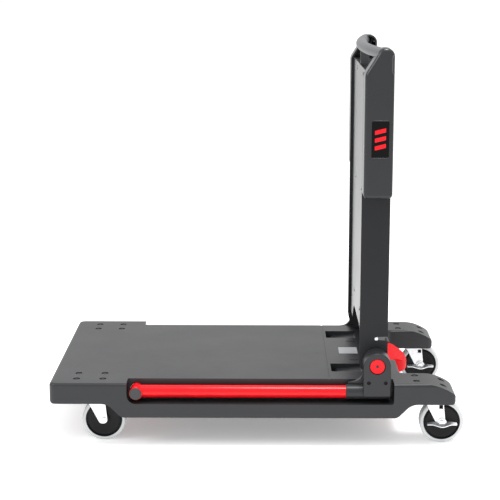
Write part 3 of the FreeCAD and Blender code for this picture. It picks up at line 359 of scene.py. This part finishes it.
@dataclass(frozen=True)
class PaintedSteel:
    """Gloss powder coat on steel tube: orange peel and rubbed patches."""

    name: str
    colour: tuple[float, float, float, float]
    roughness: float = 0.2
    shine: float = 0.3

    def material(self) -> bpy.types.Material:
        """Builds the finish.

        Returns:
            The material.
        """
        shader = Shader(self.name)
        cloud = shader.noise(size=0.06, detail=3.0)
        deep = tint(self.colour, 0.86)
        shader.vary("Base Color", shader.blend(cloud.ramp(0.35, 0.65), deep, self.colour))
        rubbed = shader.noise(size=0.009, detail=4.0, rough=0.7,
                              along=shader.stretched(0.15, 1.0, 1.0)).ramp(0.58, 0.72)
        shader.vary("Roughness", (self.roughness + rubbed * 0.10 + (cloud - 0.5) * 0.08).held())
        shader.constant(Specular_IOR_Level=self.shine, IOR=PLASTIC_IOR)
        shader.relief(shader.noise(size=0.0022, detail=2.0, rough=0.4), 0.00004)
        return shader.material


@dataclass(frozen=True)
class PlatedSteel:
    """Zinc or chrome plate on pressed steel: drawn streaks, spangle and handling marks."""

    name: str
    colour: tuple[float, float, float, float]
    roughness: float
    streak: tuple[float, float, float] = (1.0, 1.0, 0.08)
    spangle: float = 0.10

    def material(self) -> bpy.types.Material:
        """Builds the finish.

        Returns:
            The material.
        """
        shader = Shader(self.name)
        lines = shader.noise(size=0.0011, detail=3.0, rough=0.6, along=shader.stretched(*self.streak))
        patch = shader.cells(0.006)
        dull = tint(self.colour, 1 - 2 * self.spangle)
        shader.vary("Base Color", shader.blend((patch * 0.7 + lines * 0.5).held(), self.colour, dull))
        rough = self.roughness + (lines - 0.5) * 0.22 + (patch - 0.3) * self.spangle
        shader.vary("Roughness", rough.held())
        shader.constant(Metallic=1.0)
        shader.relief(lines, 0.00002)
        return shader.material


@dataclass(frozen=True)
class TyreRubber:
    """Grey non-marking rubber: fine turned rings round the wheel, and floor dust."""

    name: str
    colour: tuple[float, float, float, float]
    centre: tuple[float, float, float]
    radius: float

    def material(self) -> bpy.types.Material:
        """Builds the finish.

        Returns:
            The material.
        """
        shader = Shader(self.name)
        away = shader.node("ShaderNodeVectorMath", {"operation": "SUBTRACT"},
                           {0: shader.position, 1: self.centre}).out(0)
        parts = shader.node("ShaderNodeSeparateXYZ", None, {0: away})
        reach = (parts.out("X") ** 2.0 + parts.out("Z") ** 2.0) ** 0.5
        rings = (reach * RING_RATE).wave() * 0.5 + 0.5
        dust = (shader.noise(size=0.008, detail=4.0, rough=0.6).ramp(0.4, 0.7)
                * (reach / self.radius).ramp(0.97, 1.0))
        grey = tint(self.colour, 0.62)
        shader.vary("Base Color", shader.blend((dust * 0.8).held(), self.colour, grey))
        shader.vary("Roughness", (0.58 + dust * 0.25 - rings * 0.05).held())
        shader.relief(rings * 0.4 + shader.noise(size=0.0007, detail=2.0), 0.00003)
        return shader.material


class Finishes:
    """Every finish of the cart, made once and shared by its pieces."""

    def __init__(self) -> None:
        """Names each finish and its colour."""
        self._made: dict[str, bpy.types.Material] = {}
        self._known = {
            # in each moulding, dust sets the painted sheen on upward faces and how pale the scuffs are
            "deck": MouldedPlastic("deck_moulding", srgb(38, 39, 41), roughness=0.36,
                grain=Grain.PEBBLED, grain_size=0.0013, grain_height=0.00008, dust=0.16, shine=0.34),
            "bracket": MouldedPlastic("bracket_moulding", srgb(36, 37, 39), roughness=0.38,
                grain=Grain.FINE, grain_size=0.0008, grain_height=0.00004, dust=0.05, shine=0.34),
            "post": MouldedPlastic("post_moulding", srgb(26, 27, 29), roughness=0.46, grain=Grain.FINE,
                grain_size=0.001, grain_height=0.00005, dust=0.05, shine=0.24),
            "shell": MouldedPlastic("shell_moulding", srgb(36, 37, 40), roughness=0.28,
                grain=Grain.FINE, grain_size=0.001, grain_height=0.00004, dust=0.05, shine=0.34),
            "panel": MouldedPlastic("panel_moulding", srgb(58, 59, 62), roughness=0.3,
                grain=Grain.SMOOTH, grain_size=0.001, grain_height=0.0001, dust=0.04),
            "grip": MouldedPlastic("grip_moulding", srgb(62, 63, 66), roughness=0.38, grain=Grain.FINE,
                grain_size=0.0014, grain_height=0.00008, dust=0.05),
            "strike": MouldedPlastic("strike_plate_moulding", srgb(158, 160, 162), roughness=0.4,
                grain=Grain.FINE),
            "plug": MouldedPlastic("plug_moulding", srgb(48, 48, 50), roughness=0.5),
            "wheel": MouldedPlastic("wheel_moulding", srgb(14, 14, 15), roughness=0.44,
                grain=Grain.FINE, grain_size=0.0009, grain_height=0.00005, dust=0.03, shine=0.2),
            "badge": MouldedPlastic("badge_gloss", srgb(6, 6, 7), roughness=0.22, grain=Grain.SMOOTH,
                grain_size=0.001, grain_height=0.00004, dust=0.0, shine=0.12),
            "red_plastic": MouldedPlastic("red_moulding", srgb(228, 10, 24), roughness=0.26,
                grain=Grain.SMOOTH, grain_size=0.001, grain_height=0.00006, dust=0.0, shine=0.25,
                mottle=0.05),
            "pedal": MouldedPlastic("pedal_moulding", srgb(212, 6, 18), roughness=0.5, grain=Grain.FINE,
                grain_size=0.001, grain_height=0.00006, dust=0.0, shine=0.06, mottle=0.05),
            "red_paint": PaintedSteel("red_powder_coat", srgb(222, 8, 20)),
            "black_steel": PlatedSteel("blacked_steel", srgb(36, 36, 38), roughness=0.4,
                streak=NO_STREAK, spangle=0.05),
            "zinc": PlatedSteel("bright_zinc", srgb(236, 238, 240), roughness=0.34),
            "steel": PlatedSteel("bright_steel", srgb(214, 215, 217), roughness=0.2, streak=NO_STREAK,
                spangle=0.03),
            "dark_steel": PlatedSteel("dull_steel", srgb(58, 58, 62), roughness=0.32, streak=NO_STREAK,
                spangle=0.05),
            "spring": PlatedSteel("drawn_wire", srgb(150, 151, 154), roughness=0.3, streak=NO_STREAK,
                spangle=0.05),
        }

    def get(self, name: str) -> bpy.types.Material:
        """The material of a finish.

        Args:
            name: the finish's short name.

        Returns:
            The shared material.
        """
        if name not in self._made:
            self._made[name] = self._known[name].material()
        return self._made[name]


def dress(node: str, material: bpy.types.Material) -> None:
    """Gives a CAD node one material all over.

    Args:
        node: the node's name.
        material: its finish.
    """
    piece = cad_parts[node]
    piece.data.materials.clear()
    piece.data.materials.append(material)
    for face in piece.data.polygons:
        face.material_index = 0
    log.info("dressed %s in %s", node, material.name)


# ---------------------------------------------------------------- geometry node helper

class Grove:
    """A Geometry Nodes tree under construction, turned into a plain mesh piece at the end."""

    def __init__(self, name: str) -> None:
        """Starts an empty tree with one geometry output.

        Args:
            name: the tree's and the piece's name.
        """
        self.name = name
        self.tree = bpy.data.node_groups.new(name + "_tree", "GeometryNodeTree")
        self.tree.interface.new_socket("Geometry", in_out="INPUT", socket_type="NodeSocketGeometry")
        self.tree.interface.new_socket("Geometry", in_out="OUTPUT", socket_type="NodeSocketGeometry")
        self.entry = self.tree.nodes.new("NodeGroupInput")
        self.exit = self.tree.nodes.new("NodeGroupOutput")
        self.sizes: dict[str, float] = {}

    def size(self, name: str, value: float, whole: bool = False) -> bpy.types.NodeSocket:
        """Adds a named input.

        Args:
            name: the input's name.
            value: what this piece sets it to.
            whole: whether it counts things.

        Returns:
            The group input's output socket.
        """
        kind = "NodeSocketInt" if whole else "NodeSocketFloat"
        self.tree.interface.new_socket(name, in_out="INPUT", socket_type=kind)
        self.sizes[name] = value
        return self.entry.outputs[name]

    def node(self, kind: str, settings: dict | None = None, values: dict | None = None) -> bpy.types.Node:
        """Adds a node and fills its inputs.

        Args:
            kind: the node's type name.
            settings: properties set before the inputs.
            values: input name or number to a socket or a value.

        Returns:
            The node.
        """
        made = self.tree.nodes.new(kind)
        for key, value in (settings or {}).items():
            setattr(made, key, value)
        for key, value in (values or {}).items():
            if isinstance(value, bpy.types.NodeSocket):
                self.tree.links.new(value, made.inputs[key])
            else:
                made.inputs[key].default_value = value
        return made

    def plant(self, geometry: bpy.types.NodeSocket, material: bpy.types.Material, body: str,
              start: bpy.types.Mesh | None = None) -> bpy.types.Object:
        """Ends the tree, applies it and returns the plain mesh piece.

        Args:
            geometry: the geometry to keep.
            material: its finish.
            body: the CAD body that the piece rides on.
            start: the mesh that the tree starts from, if it needs one.

        Returns:
            The piece.
        """
        whole = self.node("GeometryNodeRealizeInstances", None, {0: geometry})
        dressed = self.node("GeometryNodeSetMaterial", None, {0: whole.outputs[0], "Material": material})
        self.tree.links.new(dressed.outputs[0], self.exit.inputs[0])
        seed = bpy.data.objects.new(self.name + "_seed", start or bpy.data.meshes.new(self.name + "_empty"))
        bpy.context.scene.collection.objects.link(seed)
        modifier = seed.modifiers.new("grow", "NODES")
        modifier.node_group = self.tree
        for item in self.tree.interface.items_tree:
            if item.in_out == "INPUT" and item.name in self.sizes:
                modifier[item.identifier] = self.sizes[item.name]
        graph = bpy.context.evaluated_depsgraph_get()
        mesh = bpy.data.meshes.new_from_object(seed.evaluated_get(graph))
        bpy.data.objects.remove(seed)
        return add_piece(self.name, mesh, material, body)


def add_piece(name: str, mesh: bpy.types.Mesh, material: bpy.types.Material, body: str) -> bpy.types.Object:
    """Puts a finished mesh in the scene as a piece on a body.

    Args:
        name: the piece's name.
        mesh: its mesh, in the frame's place.
        material: its finish.
        body: the CAD body that it rides on.

    Returns:
        The piece.
    """
    mesh.name = name
    if not mesh.materials:
        mesh.materials.append(material)
    piece = bpy.data.objects.new(name, mesh)
    bpy.context.scene.collection.objects.link(piece)
    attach(piece, body)
    log.info("built %s: %d faces on %s", name, len(mesh.polygons), body)
    return piece


# ---------------------------------------------------------------- shapes that trees start from

def rib_mesh(name: str, long: float, deep: float, thick: float) -> bpy.types.Mesh:
    """A stiffening rib with draft on both faces and a rounded-off free edge.

    Args:
        name: the mesh's name.
        long: its length along X.
        deep: how far it stands out along Y.
        thick: its thickness along Z at the root.

    Returns:
        The mesh, its root on Y = 0.
    """
    # how far out, as a share of the depth, and half the thickness there, as a share of the root's
    stations = ((0.0, 0.5), (0.55, 0.42), (0.9, 0.34), (1.0, 0.18))
    outline = [(share * deep, half * thick) for share, half in stations]
    outline += [(share * deep, -half * thick) for share, half in reversed(stations)]
    form = bmesh.new()
    rings = [[form.verts.new((x, y, z)) for y, z in outline] for x in (-long / 2, long / 2)]
    count = len(outline)
    for step in range(count):
        following = (step + 1) % count
        form.faces.new((rings[0][step], rings[0][following], rings[1][following], rings[1][step]))
    form.faces.new(rings[0][::-1])
    form.faces.new(rings[1])
    bmesh.ops.recalc_face_normals(form, faces=form.faces)
    mesh = bpy.data.meshes.new(name)
    form.to_mesh(mesh)
    form.free()
    return mesh


def path_mesh(name: str, points: list[Vector]) -> bpy.types.Mesh:
    """A closed run of edges through some points."""
    count = len(points)
    mesh = bpy.data.meshes.new(name)
    edges = [(step, (step + 1) % count) for step in range(count)]
    mesh.from_pydata([tuple(point) for point in points], edges, [])
    return mesh


# ---------------------------------------------------------------- sub-assemblies

@dataclass
class WeldBead:
    """The weld round a side tube where it is coped on the cross tube."""

    side: str
    finishes: Finishes
    pitch: float = 0.0016
    radius: float = 0.0017

    def seam(self) -> list[Vector]:
        """The saddle line where two equal tubes meet.

        Returns:
            Points round the side tube.
        """
        low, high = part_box("side_tube_" + self.side)
        cross_low, cross_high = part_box("cross_tube")
        middle = (low + high) / 2
        reach = (high.z - low.z) / 2
        cross_x = (cross_low.x + cross_high.x) / 2
        points = []
        for step in range(SEAM_STEPS):
            angle = 2 * math.pi * step / SEAM_STEPS
            across, up = reach * math.sin(angle), reach * math.cos(angle)
            points.append(Vector((cross_x + abs(across), middle.y + across, middle.z + up)))
        return points

    def build(self) -> None:
        """Lays overlapping beads along the seam."""
        name = "weld_bead_" + self.side
        grove = Grove(name)
        pitch = grove.size("Bead pitch", self.pitch)
        radius = grove.size("Bead radius", self.radius)
        seed = grove.size("Seed", 7, True)
        line = grove.node("GeometryNodeMeshToCurve", None, {0: grove.entry.outputs[0]})
        spaced = grove.node("GeometryNodeResampleCurve", {"mode": "LENGTH"},
                            {"Curve": line.outputs[0], "Length": pitch})
        bead = grove.node("GeometryNodeMeshIcoSphere", None, {"Radius": radius, "Subdivisions": 2})
        swell = grove.node("FunctionNodeRandomValue", {"data_type": "FLOAT"},
                           {2: BEAD_SWELL[0], 3: BEAD_SWELL[1], "Seed": seed})
        laid = grove.node("GeometryNodeInstanceOnPoints", None,
                          {"Points": spaced.outputs[0], "Instance": bead.outputs[0],
                           "Scale": swell.outputs[1]})
        grove.plant(laid.outputs[0], self.finishes.get("red_paint"), "deck",
                    path_mesh(name + "_seam", self.seam()))


@dataclass
class Deck:
    """The moulded deck with its tubes, hinge brackets, pedal and strike plate."""

    finishes: Finishes

    def build(self) -> None:
        """Dresses the deck's nodes and lays the welds."""
        look = self.finishes.get
        dress("deck_platform", look("deck"))
        dress("cross_tube", look("red_paint"))
        dress("tube_end_plugs", look("plug"))
        dress("strike_plate", look("strike"))
        for node in ("caster_bolts", "caster_nuts", "bracket_screws", "bracket_anchor_bolts"):
            dress(node, look("black_steel"))
        for node in ("king_pins", "pedal_axle"):
            dress(node, look("steel"))
        for side in SIDES:
            dress("side_sill_" + side, look("deck"))
            dress("side_tube_" + side, look("red_paint"))
            dress("hinge_bracket_" + side, look("bracket"))
            dress("hinge_pin_" + side, look("dark_steel"))
            dress("hub_button_" + side, look("red_plastic"))
            dress("button_spring_" + side, look("spring"))
            WeldBead(side, self.finishes).build()
        dress("foot_pedal", look("pedal"))
        dress("pedal_spring", look("spring"))


@dataclass
class ShellRibs:
    """The row of stiffening ribs inside a side shell."""

    side: str
    finishes: Finishes
    count: int = 9
    wall: float = 0.004
    thick: float = 0.0025

    def build(self) -> None:
        """Stands the ribs on the shell's inner wall, between its foot and its shoulder."""
        name = "shell_ribs_" + self.side
        low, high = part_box("side_shell_" + self.side)
        post_low, post_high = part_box("upright_post_" + self.side)
        inward = 1.0 if self.side == "left" else -1.0
        root = low.y + self.wall if inward > 0 else high.y - self.wall
        room = abs((post_low.y if inward > 0 else post_high.y) - root)
        long = high.x - low.x - 2 * self.wall - RIB_CLEARANCE
        first = low.z + RIB_FOOT
        span = (post_high.z - RIB_SHOULDER) - first
        grove = Grove(name)
        count = grove.size("Rib count", self.count, True)
        pitch = grove.size("Rib pitch", span / (self.count - 1))
        step = grove.node("ShaderNodeCombineXYZ", None, {"Z": pitch})
        row = grove.node("GeometryNodeMeshLine", {"mode": "OFFSET"},
                         {"Count": count, "Start Location": ((low.x + high.x) / 2, root, first),
                          "Offset": step.outputs[0]})
        stood = grove.node("GeometryNodeInstanceOnPoints", None,
                           {"Points": row.outputs[0], "Instance": grove.entry.outputs[0]})
        rib = rib_mesh(name + "_rib", long, min(room - RIB_CLEARANCE, RIB_DEPTH), self.thick)
        if inward < 0:
            rib.transform(Matrix.Rotation(math.pi, 4, "Z"))
        grove.plant(stood.outputs[0], self.finishes.get("shell"), "upright", rib)


@dataclass
class BadgeRim:
    """The raised rim round a badge."""

    side: str
    finishes: Finishes
    wide: float = 0.0008
    corner: float = 0.004

    def build(self) -> None:
        """Runs a half-sunk round bead round the badge's plate."""
        name = "badge_rim_" + self.side
        low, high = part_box("shell_badges")
        face = low.y if self.side == "left" else high.y
        grove = Grove(name)
        width = grove.size("Rim width", self.wide)
        corner = grove.size("Corner radius", self.corner)
        border = grove.node("GeometryNodeCurvePrimitiveQuadrilateral", {"mode": "RECTANGLE"},
                            {"Width": high.x - low.x, "Height": high.z - low.z})
        rounded = grove.node("GeometryNodeFilletCurve", {"mode": "POLY"},
                             {"Curve": border.outputs[0], "Radius": corner, "Count": 6})
        section = grove.node("GeometryNodeCurvePrimitiveCircle", {"mode": "RADIUS"},
                             {"Resolution": 10, "Radius": width})
        bead = grove.node("GeometryNodeCurveToMesh", None,
                          {"Curve": rounded.outputs[0], 1: section.outputs[0]})
        place = ((low.x + high.x) / 2, face, (low.z + high.z) / 2)
        moved = grove.node("GeometryNodeTransform", None,
                           {"Geometry": bead.outputs[0], "Translation": place,
                            "Rotation": (math.pi / 2, 0.0, 0.0)})
        grove.plant(moved.outputs[0], self.finishes.get("shell"), "upright")


@dataclass
class Upright:
    """The folding upright: posts, panels, shells, grip and badges."""

    finishes: Finishes

    def build(self) -> None:
        """Dresses the upright's nodes and adds the shells' ribs and rims."""
        look = self.finishes.get
        for side in SIDES:
            dress("upright_post_" + side, look("post"))
            dress("side_shell_" + side, look("shell"))
            ShellRibs(side, self.finishes).build()
            BadgeRim(side, self.finishes).build()
        for node in ("crossbars", "rear_panel"):
            dress(node, look("post"))
        dress("front_panel", look("panel"))
        dress("handle_grip", look("grip"))
        dress("shell_badges", look("badge"))
        dress("badge_inlays", look("red_plastic"))
        dress("panel_screws", look("spring"))
        dress("latch_rod", look("steel"))
        dress("latch_springs", look("spring"))


@dataclass
class Caster:
    """One swivel caster."""

    corner: str
    finishes: Finishes
    tyre_grey: tuple[float, float, float, float] = field(default_factory=lambda: srgb(194, 196, 197))
    balls: int = 22
    ball_radius: float = 0.0023
    ring_radius: float = 0.0245

    def race(self) -> None:
        """Fills the swivel race with its ring of balls."""
        fork_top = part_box("fork_" + self.corner)[1].z
        plate_low, plate_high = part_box("caster_plate_" + self.corner)
        middle = (plate_low + plate_high) / 2
        grove = Grove("race_balls_" + self.corner)
        count = grove.size("Ball count", self.balls, True)
        ring = grove.size("Ring radius", self.ring_radius)
        radius = grove.size("Ball radius", self.ball_radius)
        circle = grove.node("GeometryNodeMeshCircle", {"fill_type": "NONE"},
                            {"Vertices": count, "Radius": ring})
        ball = grove.node("GeometryNodeMeshIcoSphere", None, {"Radius": radius, "Subdivisions": 2})
        laid = grove.node("GeometryNodeInstanceOnPoints", None,
                          {"Points": circle.outputs[0], "Instance": ball.outputs[0]})
        moved = grove.node("GeometryNodeTransform", None,
                           {"Geometry": laid.outputs[0],
                            "Translation": (middle.x, middle.y, fork_top - self.ball_radius)})
        grove.plant(moved.outputs[0], self.finishes.get("steel"), "fork_" + self.corner)

    def build(self) -> None:
        """Dresses the caster's nodes and fills its race."""
        low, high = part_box("tyre_" + self.corner)
        middle = (low + high) / 2
        tyre = TyreRubber("tyre_rubber_" + self.corner, self.tyre_grey, tuple(middle), (high.z - low.z) / 2)
        dress("tyre_" + self.corner, tyre.material())
        looks = {"wheel_core_": "wheel", "fork_": "zinc", "caster_plate_": "zinc", "wheel_axle_": "steel"}
        if self.corner.startswith("rear"):
            looks["brake_lever_"] = "zinc"
        for node, finish in looks.items():
            dress(node + self.corner, self.finishes.get(finish))
        self.race()


# ---------------------------------------------------------------- studio

@dataclass
class Studio:
    """The pale floor, the soft lights and the camera."""

    camera_place: tuple[float, float, float] = (0.0146, -3.4484, 1.0996)
    camera_down: float = 11.5
    camera_left: float = 0.56
    lens: float = 105.1
    sensor: float = 36.0
    floor_half: float = 30.0

    def floor(self) -> None:
        """Lays the floor."""
        mesh = bpy.data.meshes.new("floor")
        half = self.floor_half
        corners = [(-half, -half, 0), (half, -half, 0), (half, half, 0), (-half, half, 0)]
        mesh.from_pydata(corners, [], [(0, 1, 2, 3)])
        shader = Shader("studio_floor")
        tone = shader.noise(size=0.8, detail=2.0).ramp(0.2, 0.8)
        shader.vary("Base Color", shader.blend(tone, srgb(244, 244, 244), srgb(250, 250, 250)))
        shader.constant(Roughness=0.8, Emission_Color=(1.0, 1.0, 1.0, 1.0), Emission_Strength=0.28)
        mesh.materials.append(shader.material)
        plane = bpy.data.objects.new("floor", mesh)
        bpy.context.scene.collection.objects.link(plane)

    def lamp(self, name: str, place: tuple[float, float, float], aim: tuple[float, float, float],
             size: float, power: float) -> None:
        """Hangs one soft box.

        Args:
            name: the light's name.
            place: where it hangs.
            aim: the point it faces.
            size: its side.
            power: its power in watts.
        """
        data = bpy.data.lights.new(name, "AREA")
        data.shape = "SQUARE"
        data.size = size
        data.energy = power
        lamp = bpy.data.objects.new(name, data)
        lamp.location = place
        lamp.rotation_euler = (Vector(aim) - Vector(place)).to_track_quat("-Z", "Y").to_euler()
        bpy.context.scene.collection.objects.link(lamp)

    def sky(self, strength: float) -> None:
        """Sets the white surround."""
        world = bpy.data.worlds.new("surround")
        world.use_nodes = True
        back = world.node_tree.nodes["Background"]
        back.inputs["Color"].default_value = (1.0, 1.0, 1.0, 1.0)
        back.inputs["Strength"].default_value = strength
        bpy.context.scene.world = world

    def camera(self) -> None:
        """Stands the camera."""
        data = bpy.data.cameras.new("camera")
        data.lens = self.lens
        data.sensor_width = self.sensor
        data.clip_end = 100.0
        camera = bpy.data.objects.new("camera", data)
        camera.location = self.camera_place
        camera.rotation_euler = (math.radians(90 - self.camera_down), 0.0, math.radians(self.camera_left))
        bpy.context.scene.collection.objects.link(camera)
        bpy.context.scene.camera = camera

    def build(self) -> None:
        """Sets up everything around the cart."""
        self.floor()
        self.lamp("key", place=(-2.6, -1.6, 2.4), aim=(0.0, 0.0, 0.4), size=1.2, power=45.0)
        self.lamp("top", place=(0.4, -0.5, 3.0), aim=(0.0, 0.0, 0.2), size=1.0, power=75.0)
        self.sky(strength=1.0)
        self.camera()
        scene = bpy.context.scene
        scene.view_settings.view_transform = "Standard"
        scene.view_settings.look = "None"


def main() -> None:
    """Builds the cart's looks and its studio."""
    finishes = Finishes()
    Deck(finishes).build()
    Upright(finishes).build()
    for corner in CORNERS:
        Caster(corner, finishes).build()
    Studio().build()


if __name__ == "__main__":
    main()
